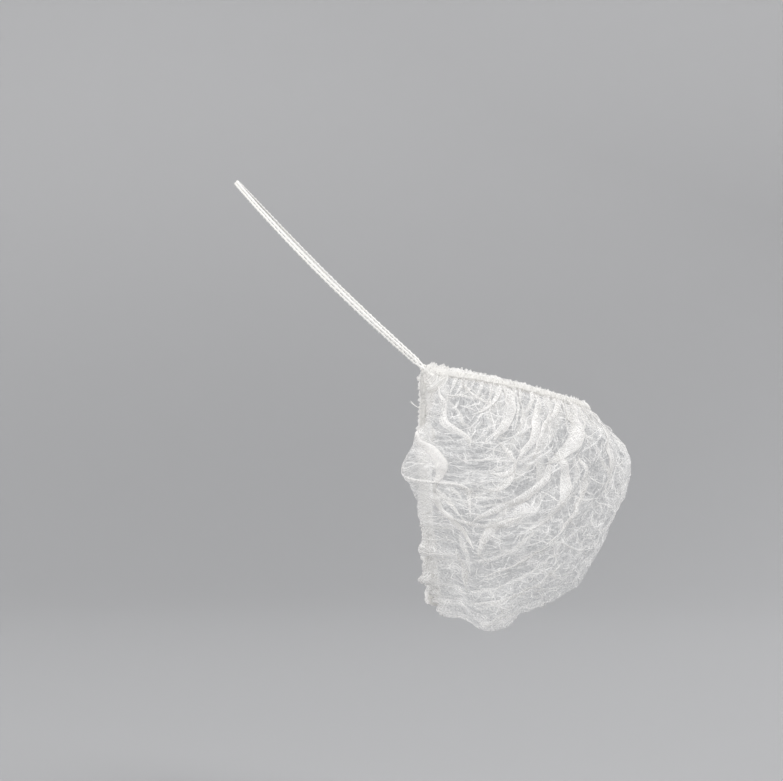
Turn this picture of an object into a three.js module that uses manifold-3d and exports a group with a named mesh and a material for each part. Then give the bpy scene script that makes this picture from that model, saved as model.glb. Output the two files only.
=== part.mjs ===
import * as THREE from 'three';
import { mergeVertices } from 'three/addons/utils/BufferGeometryUtils.js';
import Module from 'manifold-3d';

// A disposable beard net in its worn form. A bag of thin nonwoven net hangs under the chin
// between two gathered elastic hems. The hems meet in a sewn corner below each ear, and one
// flat elastic loop runs from corner to corner over the back of the head.
// Millimetres, +Z up, the face looks along -Y, and the wearer's right side is at -X.
// The origin is where the loop rests on the back of the head.

// Ear corners, from the head seat
const cornerReach = 98;
const cornerDrop = 97.1;
const cornerSpread = 132;

// Middle of the top hem and of the rear hem, from the head seat
const mouthReach = 184.1;
const mouthDrop = 117.2;
const throatReach = 101.9;
const throatDrop = 222.8;

// How far the hems bow off the straight line from corner to middle, seen from the side
const topHemRise = 2.4;
const rearHemSag = 2.4;

// Form of the bag: how far it swells past the hems at the chin and at the cheeks
const chinSwell = 31;
const cheekSwell = 20;
const crowding = 3;

// Walls, bands and clearances
const netWall = 1.2;
const hemWidth = 4;
const hemThickness = 2.4;
const scallopDepth = 0.5;
const tackLength = 12;
const tackTip = 3;
const tackThickness = 3.6;
const pieceGap = 0.3;

// Elastic head loop
const loopWidth = 3;
const loopThickness = 1.2;
const loopBow = 2;
const loopWidestShare = 0.657;
const splitLength = 4;
const legThickness = 1.1;
const legSpread = 1.3;

// Gathers that fan out of both hems
const ruffleCount = 22;
const ruffleHeight = 2;
const ruffleRise = 6;
const ruffleFade = 18;

// Pleats and long folds, and puffs of slack net behind the rear hem
const pleatWidth = 10;
const pleatHeight = 3;
const pleatFade = 0.12;
const puffRun = 26;
const puffBack = 19;
const puffOut = 9;
const puffDelay = 0.12;
const puffLean = 1.3;

// Counts of the faceted surfaces
const columnsPerRuffle = 4;
const netRows = 20;
const hemSides = 8;
const loopSteps = 50;
const tackColumns = 3;
const tackRows = 5;
const railSteps = 160;
const frameStep = 0.004;

// Outline of the bag seen from the side. turn is the share of the turn from the top hem to
// the rear hem, swell is the share of chinSwell there.
const outlineRows = [
  { turn: 0, swell: 0 },
  { turn: 0.05, swell: 0.17 },
  { turn: 0.09, swell: 0.51 },
  { turn: 0.14, swell: 0.77 },
  { turn: 0.2, swell: 0.86 },
  { turn: 0.34, swell: 0.87 },
  { turn: 0.44, swell: 0.92 },
  { turn: 0.55, swell: 1 },
  { turn: 0.66, swell: 0.86 },
  { turn: 0.72, swell: 0.78 },
  { turn: 0.8, swell: 0.82 },
  { turn: 0.85, swell: 0.73 },
  { turn: 0.9, swell: 0.46 },
  { turn: 0.95, swell: 0.14 },
  { turn: 1, swell: 0 },
];

// Pleats and long folds. place is the share of the way from the middle of the bag to a
// corner, negative on the right side. start and end are shares of the way from the top hem
// to the rear hem, drift is how far the fold wanders in place on that way, width and height
// are shares of pleatWidth and pleatHeight.
const foldRows = [
  { place: -0.9, drift: 0.05, start: 0.35, end: 1, width: 0.6, height: 0.5 },
  { place: -0.744, drift: 0.3, start: 0, end: 0.5, width: 0.7, height: 0.8 },
  { place: -0.53, drift: -0.08, start: 0, end: 0.75, width: 0.7, height: 0.8 },
  { place: -0.44, drift: -0.18, start: 0, end: 0.8, width: 0.7, height: 0.7 },
  { place: -0.33, drift: -0.28, start: 0, end: 0.85, width: 0.8, height: 1 },
  { place: -0.41, drift: 0, start: 0.24, end: 0.48, width: 0.6, height: 0.7 },
  { place: -0.24, drift: -0.26, start: 0, end: 1, width: 1, height: 0.7 },
  { place: -0.16, drift: -0.12, start: 0, end: 0.9, width: 1, height: 0.8 },
  { place: -0.05, drift: -0.08, start: 0.05, end: 0.8, width: 1.1, height: 0.8 },
  { place: 0.06, drift: 0.08, start: 0, end: 1, width: 1, height: 0.7 },
  { place: 0.18, drift: 0.14, start: 0, end: 0.9, width: 1, height: 0.8 },
  { place: 0.3, drift: 0.2, start: 0, end: 1, width: 0.9, height: 0.9 },
  { place: 0.46, drift: 0.14, start: 0, end: 0.8, width: 0.8, height: 0.8 },
  { place: 0.62, drift: 0.05, start: 0.1, end: 0.7, width: 0.7, height: 0.7 },
  { place: 0.88, drift: -0.04, start: 0.3, end: 1, width: 0.6, height: 0.5 },
];

// Puffs of slack net that hang back over the rear hem. place and spread are shares of the
// way from the middle of the bag to a corner, back and out are shares of puffBack and
// puffOut.
const puffRows = [
  { place: -0.71, spread: 0.19, back: 1, out: 1 },
  { place: 0.68, spread: 0.15, back: 0.7, out: 0.8 },
];

const topRadius = Math.hypot(mouthReach - cornerReach, mouthDrop - cornerDrop);
const topAngle = Math.atan2(mouthDrop - cornerDrop, mouthReach - cornerReach);
const rearRadius = Math.hypot(throatReach - cornerReach, throatDrop - cornerDrop);
const rearAngle = Math.atan2(throatDrop - cornerDrop, throatReach - cornerReach);
const cornerHalf = cornerSpread / 2;
const netColumns = columnsPerRuffle * ruffleCount;

const { lerp, clamp } = THREE.MathUtils;

const outlineCurve = new THREE.SplineCurve(
  outlineRows.map((row) => new THREE.Vector2(row.turn, row.swell)),
);

function swellAt(turn) {
  const last = outlineRows.length - 1;
  let index = 0;
  while (index < last - 1 && outlineRows[index + 1].turn < turn) {
    index += 1;
  }
  const from = outlineRows[index].turn;
  const to = outlineRows[index + 1].turn;
  const share = clamp((turn - from) / (to - from), 0, 1);
  return Math.max(outlineCurve.getPoint((index + share) / last).y, 0);
}

// Radius of the bag's side outline about the line from ear to ear
function outlineRadius(turn) {
  return lerp(topRadius, rearRadius, turn) + chinSwell * swellAt(turn);
}

// Length of a quarter of the ellipse that the bag follows from a corner to its middle
function quarterLength(outline) {
  return ((Math.PI / 2) * Math.hypot(cornerHalf, outline)) / Math.SQRT2;
}

const freeLength = quarterLength(outlineRadius(0.5));

// A point of the smooth bag. across runs from -1 at the right corner to 1 at the left one,
// turn from 0 at the top hem to 1 at the rear hem. Near the corners the cloth lies in arcs
// round them, and towards its middle the shorter hems crowd it together.
function netPoint(across, turn) {
  const outline = outlineRadius(turn);
  const quarter = quarterLength(outline);
  const fromCorner = 1 - Math.abs(across);
  const spare = freeLength / quarter;
  const share = spare * fromCorner - (spare - 1) * fromCorner ** crowding;
  const slope = quarter / outline;
  const swing = slope * share + (Math.PI / 2 - slope) * share * share;
  const depth = Math.sin(swing);
  const width = Math.cos(swing);
  const angle = lerp(topAngle, rearAngle, turn);
  const radius = outline * depth;
  const bow = 4 * depth * (1 - depth);
  const rise = topHemRise * bow * (1 - turn) * (1 - turn);
  const sag = rearHemSag * bow * turn * turn;
  const cheek = cheekSwell * Math.sin(Math.PI * turn) * 2 * depth * width;
  const side = Math.sign(across) || 1;
  return new THREE.Vector3(
    side * (cornerHalf * width + cheek),
    -(cornerReach + radius * Math.cos(angle) - sag),
    -(cornerDrop + radius * Math.sin(angle)) + rise,
  );
}

// Outward normal of the smooth bag and the direction of the cloth from the top hem down
function netFrame(across, turn) {
  const left = netPoint(Math.min(across + frameStep, 1 - frameStep), turn);
  const right = netPoint(Math.max(across - frameStep, frameStep - 1), turn);
  const down = netPoint(across, Math.min(turn + frameStep, 1));
  const up = netPoint(across, Math.max(turn - frameStep, 0));
  const along = down.sub(up).normalize();
  const sideways = left.sub(right).normalize();
  const normal = new THREE.Vector3().crossVectors(along, sideways).normalize();
  return { along, normal };
}

// Lengths along one section of the bag, from the top hem to the rear hem
function measureSection(across) {
  const lengths = [0];
  let previous = netPoint(across, 0);
  for (let index = 1; index <= railSteps; index += 1) {
    const point = netPoint(across, index / railSteps);
    lengths.push(lengths[index - 1] + point.distanceTo(previous));
    previous = point;
  }
  return lengths;
}

function turnAtLength(lengths, length) {
  let index = 0;
  while (index < railSteps - 1 && lengths[index + 1] < length) {
    index += 1;
  }
  const share = (length - lengths[index]) / (lengths[index + 1] - lengths[index]);
  return (index + clamp(share, 0, 1)) / railSteps;
}

function hump(offset, width) {
  const share = offset / width;
  return Math.abs(share) < 1 ? 0.5 + 0.5 * Math.cos(Math.PI * share) : 0;
}

function smooth(share) {
  const limited = clamp(share, 0, 1);
  return limited * limited * (3 - 2 * limited);
}

// Height of the pleats and gathers over the smooth bag
function foldHeight(across, turn, fromTop, fromRear) {
  const fromHem = Math.min(fromTop, fromRear);
  const release = smooth(fromHem / ruffleRise);
  let height = 0;
  for (const fold of foldRows) {
    const place = fold.place + fold.drift * turn;
    const entry = fold.start === 0 ? 1 : smooth((turn - fold.start) / pleatFade);
    const leave = fold.end === 1 ? 1 : smooth((fold.end - turn) / pleatFade);
    const ridge = hump((across - place) * freeLength, fold.width * pleatWidth);
    height += fold.height * pleatHeight * entry * leave * ridge;
  }
  const wave = Math.cos(Math.PI * ruffleCount * (across + 1));
  const gather = ruffleHeight * wave * Math.exp(-fromHem / ruffleFade);
  return release * (height + gather);
}

// A point of the folded bag's middle surface and its normal
function foldedPoint(across, turn, fromTop, fromRear) {
  const { normal } = netFrame(across, turn);
  const point = netPoint(across, turn);
  point.addScaledVector(normal, foldHeight(across, turn, fromTop, fromRear));
  for (const puff of puffRows) {
    const share = hump(across - puff.place, puff.spread);
    const run = clamp(fromRear / puffRun, 0, 1);
    const hang = Math.sin((Math.PI * Math.max(run - puffDelay, 0)) / (1 - puffDelay));
    const lift = Math.sin(Math.PI * run ** puffLean);
    point.y += puff.back * puffBack * share * hang * hang;
    point.addScaledVector(normal, puff.out * puffOut * share * lift);
  }
  return point;
}

// Joins rings of points into one closed body. Each ring is an outer row followed by the
// inner row backwards, so both ends close with a strip.
function loftRings(rings) {
  const size = rings[0].length;
  const positions = rings.flat().flatMap((point) => [point.x, point.y, point.z]);
  const indices = [];
  for (let ring = 0; ring < rings.length - 1; ring += 1) {
    for (let index = 0; index < size; index += 1) {
      const next = (index + 1) % size;
      const a = ring * size + index;
      const b = ring * size + next;
      indices.push(a, b, b + size, a, b + size, a + size);
    }
  }
  const last = (rings.length - 1) * size;
  for (let index = 0; index < size / 2 - 1; index += 1) {
    const a = index;
    const b = index + 1;
    const c = size - 2 - index;
    const d = size - 1 - index;
    indices.push(a, c, b, a, d, c);
    indices.push(last + a, last + b, last + c, last + a, last + c, last + d);
  }
  const geometry = new THREE.BufferGeometry();
  geometry.setAttribute('position', new THREE.Float32BufferAttribute(positions, 3));
  geometry.setIndex(indices);
  return faceOutward(geometry);
}

function faceOutward(geometry) {
  const position = geometry.getAttribute('position');
  const index = geometry.getIndex();
  const corner = (place) => new THREE.Vector3().fromBufferAttribute(position, index.getX(place));
  let volume = 0;
  for (let place = 0; place < index.count; place += 3) {
    volume += corner(place).dot(corner(place + 1).cross(corner(place + 2)));
  }
  if (volume < 0) {
    for (let place = 0; place < index.count; place += 3) {
      const first = index.getX(place);
      index.setX(place, index.getX(place + 1));
      index.setX(place + 1, first);
    }
  }
  return geometry;
}

// Share of the way across at which the cloth stands this far from its corner
function acrossAtRadius(radius) {
  return 1 - radius / freeLength;
}

const clothEnd = acrossAtRadius(tackLength + pieceGap);

function buildNetBag() {
  const sections = [];
  for (let column = 0; column <= netColumns; column += 1) {
    const across = lerp(-clothEnd, clothEnd, column / netColumns);
    const lengths = measureSection(across);
    const whole = lengths[railSteps];
    const margin = hemWidth + pieceGap;
    const middle = [];
    for (let row = 0; row <= netRows; row += 1) {
      const length = lerp(margin, whole - margin, row / netRows);
      const turn = turnAtLength(lengths, length);
      middle.push({ across, turn, fromTop: length - margin, fromRear: whole - margin - length });
    }
    sections.push(middle);
  }
  const points = sections.map((section) =>
    section.map((at) => foldedPoint(at.across, at.turn, at.fromTop, at.fromRear)),
  );
  return loftRings(sections.map((section, column) => thickenSection(points, column, section)));
}

// Outer row and reversed inner row of one section of the folded bag. At both rims the wall
// follows the smooth bag, square to the hem beside it.
function thickenSection(points, column, section) {
  const outer = [];
  const inner = [];
  const lastColumn = points.length - 1;
  const ring = points[column];
  for (let row = 0; row <= netRows; row += 1) {
    let normal;
    if (row === 0 || row === netRows) {
      normal = netFrame(section[row].across, section[row].turn).normal;
    } else {
      const left = points[Math.min(column + 1, lastColumn)][row];
      const right = points[Math.max(column - 1, 0)][row];
      const sideways = new THREE.Vector3().subVectors(left, right);
      const along = new THREE.Vector3().subVectors(ring[row + 1], ring[row - 1]);
      normal = along.cross(sideways).normalize();
    }
    outer.push(ring[row].clone().addScaledVector(normal, netWall / 2));
    inner.unshift(ring[row].clone().addScaledVector(normal, -netWall / 2));
  }
  return [...outer, ...inner];
}

// A scalloped band along one hem, from the hem line to just short of the bag's rim. turn is
// 0 for the top hem and 1 for the rear hem.
function buildHem(turn) {
  const rings = [];
  for (let column = 0; column <= netColumns; column += 1) {
    const across = lerp(-clothEnd, clothEnd, column / netColumns);
    const lengths = measureSection(across);
    const margin = hemWidth + pieceGap;
    const length = turn === 0 ? margin : lengths[railSteps] - margin;
    const edge = netPoint(across, turn);
    const inward = netPoint(across, turnAtLength(lengths, length)).sub(edge);
    const width = inward.length() - pieceGap;
    inward.normalize();
    const { normal } = netFrame(across, turn);
    const lift = new THREE.Vector3().crossVectors(inward, normal).cross(inward).normalize();
    const scallop = column % 2 === 0 ? scallopDepth : 0;
    const thickness = hemThickness - scallopDepth + scallop;
    const centre = edge.clone().addScaledVector(inward, (width - scallop) / 2);
    rings.push(ringAround(centre, inward, lift, width + scallop, thickness));
  }
  return loftRings(rings);
}

// The bunched corner, a thick wedge between both hem lines
function buildCornerTack(side) {
  const rings = [];
  for (let column = 0; column <= tackColumns; column += 1) {
    const radius = lerp(tackTip, tackLength, column / tackColumns);
    const across = side * acrossAtRadius(radius);
    const outer = [];
    const inner = [];
    for (let row = 0; row <= tackRows; row += 1) {
      const turn = row / tackRows;
      const { normal } = netFrame(across, turn);
      const half = (tackThickness / 2) * (0.7 + 0.3 * Math.sin(Math.PI * turn));
      const point = netPoint(across, turn);
      outer.push(point.clone().addScaledVector(normal, half));
      inner.unshift(point.clone().addScaledVector(normal, -half));
    }
    rings.push([...outer, ...inner]);
  }
  return loftRings(rings);
}

// Centre line of the head loop, an arc of an ellipse from corner to corner round the back
const chordLength = Math.hypot(cornerReach, cornerDrop);
const chordForward = cornerReach / chordLength;
const chordDown = cornerDrop / chordLength;
const loopRadius = loopWidestShare * chordLength;
const loopEndAngle = Math.acos(1 - (chordLength - splitLength) / loopRadius);
const cornerAngle = Math.acos(1 - chordLength / loopRadius);
const loopHalfWidth = cornerHalf / Math.sin(cornerAngle);

function loopPoint(angle) {
  const run = loopRadius * (1 - Math.cos(angle));
  const bow = loopBow * Math.sin((Math.PI * run) / chordLength);
  return new THREE.Vector3(
    loopHalfWidth * Math.sin(angle),
    loopThickness / 2 - (run * chordForward - bow * chordDown),
    -(run * chordDown + bow * chordForward),
  );
}

function ringAround(centre, broad, thin, width, thickness) {
  const ring = [];
  for (let side = 0; side < hemSides; side += 1) {
    const angle = ((side + 0.5) / hemSides) * 2 * Math.PI;
    const scale = 1 / Math.cos(Math.PI / hemSides);
    const point = centre.clone();
    point.addScaledVector(broad, (scale * Math.cos(angle) * width) / 2);
    point.addScaledVector(thin, (scale * Math.sin(angle) * thickness) / 2);
    ring.push(point);
  }
  return ring;
}

function buildHeadLoop(wasm) {
  const broad = new THREE.Vector3(0, chordDown, -chordForward).normalize();
  const rings = [];
  for (let step = 0; step <= loopSteps; step += 1) {
    const angle = lerp(-loopEndAngle, loopEndAngle, step / loopSteps);
    const next = loopPoint(angle + frameStep).sub(loopPoint(angle - frameStep)).normalize();
    const thin = new THREE.Vector3().crossVectors(next, broad).normalize();
    rings.push(ringAround(loopPoint(angle), broad, thin, loopWidth, loopThickness));
  }
  let loop = toManifold(wasm, loftRings(rings));
  for (const side of [-1, 1]) {
    for (const spread of [-1, 1]) {
      loop = loop.add(toManifold(wasm, buildLeg(side, spread, broad)));
    }
  }
  return fromManifold(loop);
}

// One of the two thin legs into which the loop splits before its corner
function buildLeg(side, spread, broad) {
  const root = loopPoint(side * (loopEndAngle - legThickness / loopRadius));
  const tipTurn = 0.5 - 0.5 * spread * (legSpread / tackTip);
  const tip = netPoint(side * acrossAtRadius(tackTip - pieceGap), tipTurn);
  const tipWay = netPoint(side * acrossAtRadius(tackTip), tipTurn).sub(tip).normalize();
  const start = root.clone().addScaledVector(broad, (spread * (loopWidth - legThickness)) / 2);
  const startWay = new THREE.Vector3().subVectors(tip, start).normalize();
  const rings = [];
  for (const [centre, way] of [[start, startWay], [tip, tipWay]]) {
    const thin = new THREE.Vector3().crossVectors(way, broad).normalize();
    const across = new THREE.Vector3().crossVectors(thin, way).normalize();
    rings.push(ringAround(centre, across, thin, legThickness, legThickness));
  }
  return loftRings(rings);
}

function toManifold(wasm, geometry) {
  const bare = new THREE.BufferGeometry();
  bare.setAttribute('position', geometry.getAttribute('position'));
  bare.setIndex(geometry.getIndex());
  const merged = mergeVertices(bare, 1e-4);
  return new wasm.Manifold(
    new wasm.Mesh({
      numProp: 3,
      vertProperties: new Float32Array(merged.getAttribute('position').array),
      triVerts: new Uint32Array(merged.getIndex().array),
    }),
  );
}

function fromManifold(solid) {
  const mesh = solid.getMesh();
  const geometry = new THREE.BufferGeometry();
  geometry.setAttribute('position', new THREE.Float32BufferAttribute(mesh.vertProperties, 3));
  geometry.setIndex(new THREE.Uint32BufferAttribute(mesh.triVerts, 1));
  return geometry;
}

function finish(name, geometry, colour, roughness) {
  geometry.computeVertexNormals();
  const material = new THREE.MeshStandardMaterial({ color: colour, roughness, metalness: 0 });
  const mesh = new THREE.Mesh(geometry, material);
  mesh.name = name;
  return mesh;
}

const netColour = 0xf2f3f2;
const hemColour = 0xf6f6f4;
const elasticColour = 0xf4f3ee;

const wasm = await Module();
wasm.setup();

const beardNet = new THREE.Group();
beardNet.add(finish('net_bag', buildNetBag(), netColour, 0.85));
beardNet.add(finish('top_hem', buildHem(0), hemColour, 0.9));
beardNet.add(finish('rear_hem', buildHem(1), hemColour, 0.9));
beardNet.add(finish('right_corner_tack', buildCornerTack(-1), hemColour, 0.9));
beardNet.add(finish('left_corner_tack', buildCornerTack(1), hemColour, 0.9));
beardNet.add(finish('head_loop', buildHeadLoop(wasm), elasticColour, 0.8));

export default beardNet;
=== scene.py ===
import math

import bpy
import numpy as np
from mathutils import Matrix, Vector


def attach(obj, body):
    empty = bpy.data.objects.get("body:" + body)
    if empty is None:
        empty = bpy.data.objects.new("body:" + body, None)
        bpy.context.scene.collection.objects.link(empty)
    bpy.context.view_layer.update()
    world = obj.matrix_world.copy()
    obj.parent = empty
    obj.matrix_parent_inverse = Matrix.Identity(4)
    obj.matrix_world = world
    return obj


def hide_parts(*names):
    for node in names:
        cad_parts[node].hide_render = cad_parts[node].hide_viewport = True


# A disposable beard net in its worn form: a crumpled bag of thin nonwoven net between two
# gathered, overlocked hems, a sewn corner below each ear and a knitted elastic head loop.
# The shapes are worked out in millimetres in the model's frame and written in metres.

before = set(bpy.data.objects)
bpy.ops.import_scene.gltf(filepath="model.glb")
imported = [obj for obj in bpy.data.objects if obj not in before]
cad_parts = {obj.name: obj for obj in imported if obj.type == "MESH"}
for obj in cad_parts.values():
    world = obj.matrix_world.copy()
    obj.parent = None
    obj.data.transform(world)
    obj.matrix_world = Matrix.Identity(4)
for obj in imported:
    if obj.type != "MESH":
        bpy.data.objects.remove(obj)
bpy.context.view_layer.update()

MM = 0.001
TURN = 2 * math.pi

# Camera, at the photograph's angle and distance
CAMERA_AZIMUTH = 271
CAMERA_ELEVATION = 1
CAMERA_DISTANCE = 1.5
CAMERA_TARGET = Vector((0, -0.0814, -0.1101))
SENSOR_WIDTH = 36
PHOTO_WIDTH_PIXELS = 783
PHOTO_PIXELS_PER_METRE = 1885

# Sizes of the part in millimetres, the same as in the solid model
CORNER_REACH = 98
CORNER_DROP = 97.1
CORNER_SPREAD = 132
MOUTH_REACH = 184.1
MOUTH_DROP = 117.2
THROAT_REACH = 101.9
THROAT_DROP = 222.8
TOP_HEM_RISE = 2.4
REAR_HEM_SAG = 2.4
CHIN_SWELL = 31
CHEEK_SWELL = 20
CROWDING = 3
HEM_WIDTH = 4
HEM_THICKNESS = 2.4
TACK_LENGTH = 12
TACK_TIP = 3
TACK_THICKNESS = 3.6
PIECE_GAP = 0.3
LOOP_THICKNESS = 1.2
LOOP_BOW = 2
LOOP_WIDEST_SHARE = 0.657
SPLIT_LENGTH = 4
LEG_SPREAD = 1.3
RUFFLE_COUNT = 22
RUFFLE_HEIGHT = 2
RUFFLE_RISE = 6
RUFFLE_FADE = 18
PLEAT_WIDTH = 10
PLEAT_HEIGHT = 3
PLEAT_FADE = 0.12
PUFF_RUN = 26
PUFF_BACK = 19
PUFF_OUT = 9
PUFF_DELAY = 0.12
PUFF_LEAN = 1.3

# How much farther the puffs reach than the solid model's, and how far the net lies inside it
PUFF_PULL = 1.08
NET_SLACK_IN = 0.8

# Length of the slack cloth in a puff and in the roll, as a share of how far it hangs back
PUFF_SLACK = 1.7
ROLL_SLACK = 1.6

# The net rolled back over the rear hem: length of cloth, how far back, how far out, lean
ROLL_RUN = 14
ROLL_BACK = 8.6
ROLL_OUT = 3.2
ROLL_LEAN = 1.8

# Outline of the bag from the side: share of the turn between the hems, share of the swell
OUTLINE_ROWS = np.array([
    (0, 0),
    (0.05, 0.17),
    (0.09, 0.51),
    (0.14, 0.77),
    (0.2, 0.86),
    (0.34, 0.87),
    (0.44, 0.92),
    (0.55, 1),
    (0.66, 0.86),
    (0.72, 0.78),
    (0.8, 0.82),
    (0.85, 0.73),
    (0.9, 0.46),
    (0.95, 0.14),
    (1, 0),
])

# Long soft folds: place, drift, start, end, width share, height share. The last three are
# broad ones that set the outline from the side.
FOLD_ROWS = [
    (-0.9, 0.05, 0.35, 1, 0.6, 0.5),
    (-0.744, 0.3, 0, 0.5, 0.7, 0.8),
    (-0.53, -0.08, 0, 0.75, 0.7, 0.8),
    (-0.44, -0.18, 0, 0.8, 0.7, 0.7),
    (-0.33, -0.28, 0, 0.85, 0.8, 1),
    (-0.41, 0, 0.24, 0.48, 0.6, 0.7),
    (-0.24, -0.26, 0, 1, 1, 0.7),
    (-0.16, -0.12, 0, 0.9, 1, 0.8),
    (-0.05, -0.08, 0.05, 0.8, 1.1, 0.8),
    (0.06, 0.08, 0, 1, 1, 0.7),
    (0.18, 0.14, 0, 0.9, 1, 0.8),
    (0.3, 0.2, 0, 1, 0.9, 0.9),
    (0.46, 0.14, 0, 0.8, 0.8, 0.8),
    (0.62, 0.05, 0.1, 0.7, 0.7, 0.7),
    (0.88, -0.04, 0.3, 1, 0.6, 0.5),
    (0, 0, 0.02, 0.17, 5, -1.6),
    (0, 0, 0.16, 0.66, 5, 0.6),
    (0, 0, 0.74, 1, 4, 0.6),
]

# Puffs of slack net behind the rear hem: place, spread, share back, share out
PUFF_ROWS = [
    (-0.71, 0.19, 1, 1),
    (0.68, 0.15, 0.7, 0.8),
]

# Crumple of the net: crease spacing in millimetres, how much longer the creases run from
# hem to hem than across, height of the ridges (positive) or valleys (negative), and how
# strongly the net bunches along the crease
CRUMPLE_ROWS = [
    (27, 1.3, 5.2, 0.4),
    (16, 1.2, -3, 0.35),
    (9, 1.1, 1.7, 0.3),
    (5, 1.1, -0.8, 0.15),
]
CRUMPLE_MIDDLE = 0.5
CRUMPLE_UNEVEN = 0.3
RIDGE_WIDTH = 0.09

# Bends of the crumple, along the cloth and down it: reach and length in millimetres, seed
BENDS_ALONG = [(5, 31, 11), (1.5, 9, 12)]
BENDS_DOWN = [(6, 29, 13), (1.5, 8, 14)]

# Gathers that fan out of the hems: spacing, length, height and fade in millimetres, seed
GATHER_ROWS = [
    (3.1, 60, 1.9, 11, 52),
    (1.5, 40, 1.1, 5, 53),
]
GATHER_BENDS = 2.2

# Flattened pleats of the right side: the points of each in millimetres forward of and
# below the ear corner as seen from the side, its widest width and its thickness. A pleat
# with a negative width is folded forwards and denser, the others are folded either way.
PLEAT_ROWS = [
    ([(1, 4), (1, 10), (2, 18), (3, 25), (4, 30)], -6, 0.9),
    ([(3, 22), (5, 27), (9, 31), (14, 35), (19, 40), (21, 47), (21, 54), (20, 60), (20, 64)], -1.9, 1),
    ([(20, 60), (19, 66), (17, 71), (18, 79), (23, 87), (28, 92)], -3.2, 1),
    ([(41, 10), (42, 18), (42, 25), (40, 30), (37, 33), (37, 38)], 5.2, 1.1),
    ([(38, 37), (44, 41), (47, 46), (48, 50)], 2.2, 0.8),
    ([(59, 19), (60, 26), (60, 32), (58, 39), (53, 44), (47, 50)], 4.6, 1.1),
    ([(48, 49), (44, 53), (40, 54), (35, 54)], 2.6, 0.9),
    ([(48, 52), (42, 60), (35, 63)], 2, 0.8),
    ([(70, 17), (70, 23), (68, 28), (63, 32), (60, 37), (57, 44)], 3.2, 0.9),
    ([(75, 22), (78, 29), (77, 34), (73, 41), (67, 46), (62, 50)], 7.6, 1.3),
    ([(64, 47), (62, 57), (54, 63), (47, 67), (39, 70), (29, 75), (26, 80)], 4, 1),
    ([(67, 45), (70, 53), (69, 62), (66, 72)], 6.4, 1),
    ([(52, 74), (45, 79), (33, 80), (20, 76), (13, 74)], 2.2, 0.8),
    ([(51, 76), (45, 79), (38, 84), (33, 90), (30, 97)], 4.4, 1),
    ([(4, 5), (8, 11), (12, 18), (16, 25), (20, 31), (24, 36), (25, 41)], 3, 1.1),
    ([(14, 42), (14, 52), (18, 56), (24, 60), (25, 70), (27, 78)], 1.8, 0.7),
    ([(20, 8), (26, 13), (32, 17), (40, 21)], 1.6, 0.7),
    ([(13, 15), (20, 16), (27, 17), (34, 15)], 1.5, 0.6),
    ([(52, 84), (60, 80), (68, 72), (75, 66)], 1.8, 0.7),
    ([(62, 92), (72, 84), (80, 72), (86, 60)], 2.6, 0.8),
    ([(80, 45), (83, 56), (82, 68)], 3.6, 0.9),
    ([(90, 34), (97, 44), (99, 56), (95, 66)], 4.4, 0.9),
    ([(30, 110), (44, 106), (58, 98), (70, 88)], 2.4, 0.8),
    ([(26, 122), (42, 119), (58, 112), (72, 101)], 2, 0.7),
    ([(10, 84), (12, 96), (16, 108), (15, 118)], 3.4, 0.9),
    ([(20, 92), (24, 104), (24, 116)], 3, 0.9),
]

# How bunched a pleat is apart from its fold, for common and for dense ones, the width past
# which it gets more columns, and the spacing of its points
PLEAT_COVER = 0.48
DENSE_PLEAT_COVER = 0.8
WIDE_PLEAT = 3
PLEAT_SPACING = 1.4

# The turn at each hem
AT_TOP = 0
AT_REAR = 1

# Short gathers pressed flat at a hem: hem, spacing and longest reach in millimetres, seed
HEM_PLEAT_ROWS = [
    (AT_TOP, 3.4, 30, 103),
    (AT_REAR, 4.6, 18, 104),
]

# Sharp creases of the whole net
CREASE_COUNT = 360
CREASE_SEED = 105

# Where the net is bunched: how much, and over how many millimetres from the edge
REAR_BUNCH = 0.36
REAR_BUNCH_RUN = 13
TOP_BUNCH = 0.5
TOP_BUNCH_RUN = 5
CORNER_BUNCH = 0.45
CORNER_BUNCH_RUN = 6

# Counts of the cloth's grid
CLOTH_COLUMNS = 380
CLOTH_ROWS = 160
RAIL_COLUMNS = 240
RAIL_ROWS = 160
FRAME_STEP = 0.004

# Shares of the turn that the cloth and its creases keep from both hems
CLOTH_EDGE = 0.004
CREASE_EDGE = 0.01

# Length of the pattern down the cloth, as a share of the smooth bag's length there, and how
# much the pattern across the cloth is crowded by the gathers
DRAWN_SHARE = 1.2
PATTERN_CROWDING = 0.3

# Bunched corners: counts of the grid, distances from the corner at which the bunch starts
# and ends, and the thread bound round it
TACK_SIDES = 160
TACK_ROWS = 30
TACK_START = TACK_TIP - 1.2
TACK_END = TACK_LENGTH + 2.5
WRAP_COUNT = 5
WRAP_PITCH = 0.85
WRAP_RADIUS = 0.16

# Overlock of the hems: spacing of the band's rings, points round it, pitch of the looping
# threads, their radius, and the points round a thread
BAND_SPACING = 0.32
BAND_SIDES = 14
OVERLOCK_PITCH = 2.3
OVERLOCK_RADIUS = 0.11
THREAD_SIDES = 4

# The short loose thread by the right corner: start, end and sag
LOOSE_THREAD = [(-66, -96.8, -118), (-67.2, -92.3, -114.6), (-0.2, 0.2, -0.2)]

HEM_MARGIN = HEM_WIDTH + PIECE_GAP
CORNER_HALF = CORNER_SPREAD / 2
TOP_RADIUS = math.hypot(MOUTH_REACH - CORNER_REACH, MOUTH_DROP - CORNER_DROP)
TOP_ANGLE = math.atan2(MOUTH_DROP - CORNER_DROP, MOUTH_REACH - CORNER_REACH)
REAR_RADIUS = math.hypot(THROAT_REACH - CORNER_REACH, THROAT_DROP - CORNER_DROP)
REAR_ANGLE = math.atan2(THROAT_DROP - CORNER_DROP, THROAT_REACH - CORNER_REACH)


# Camera, and the placing of it and the lights

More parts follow.
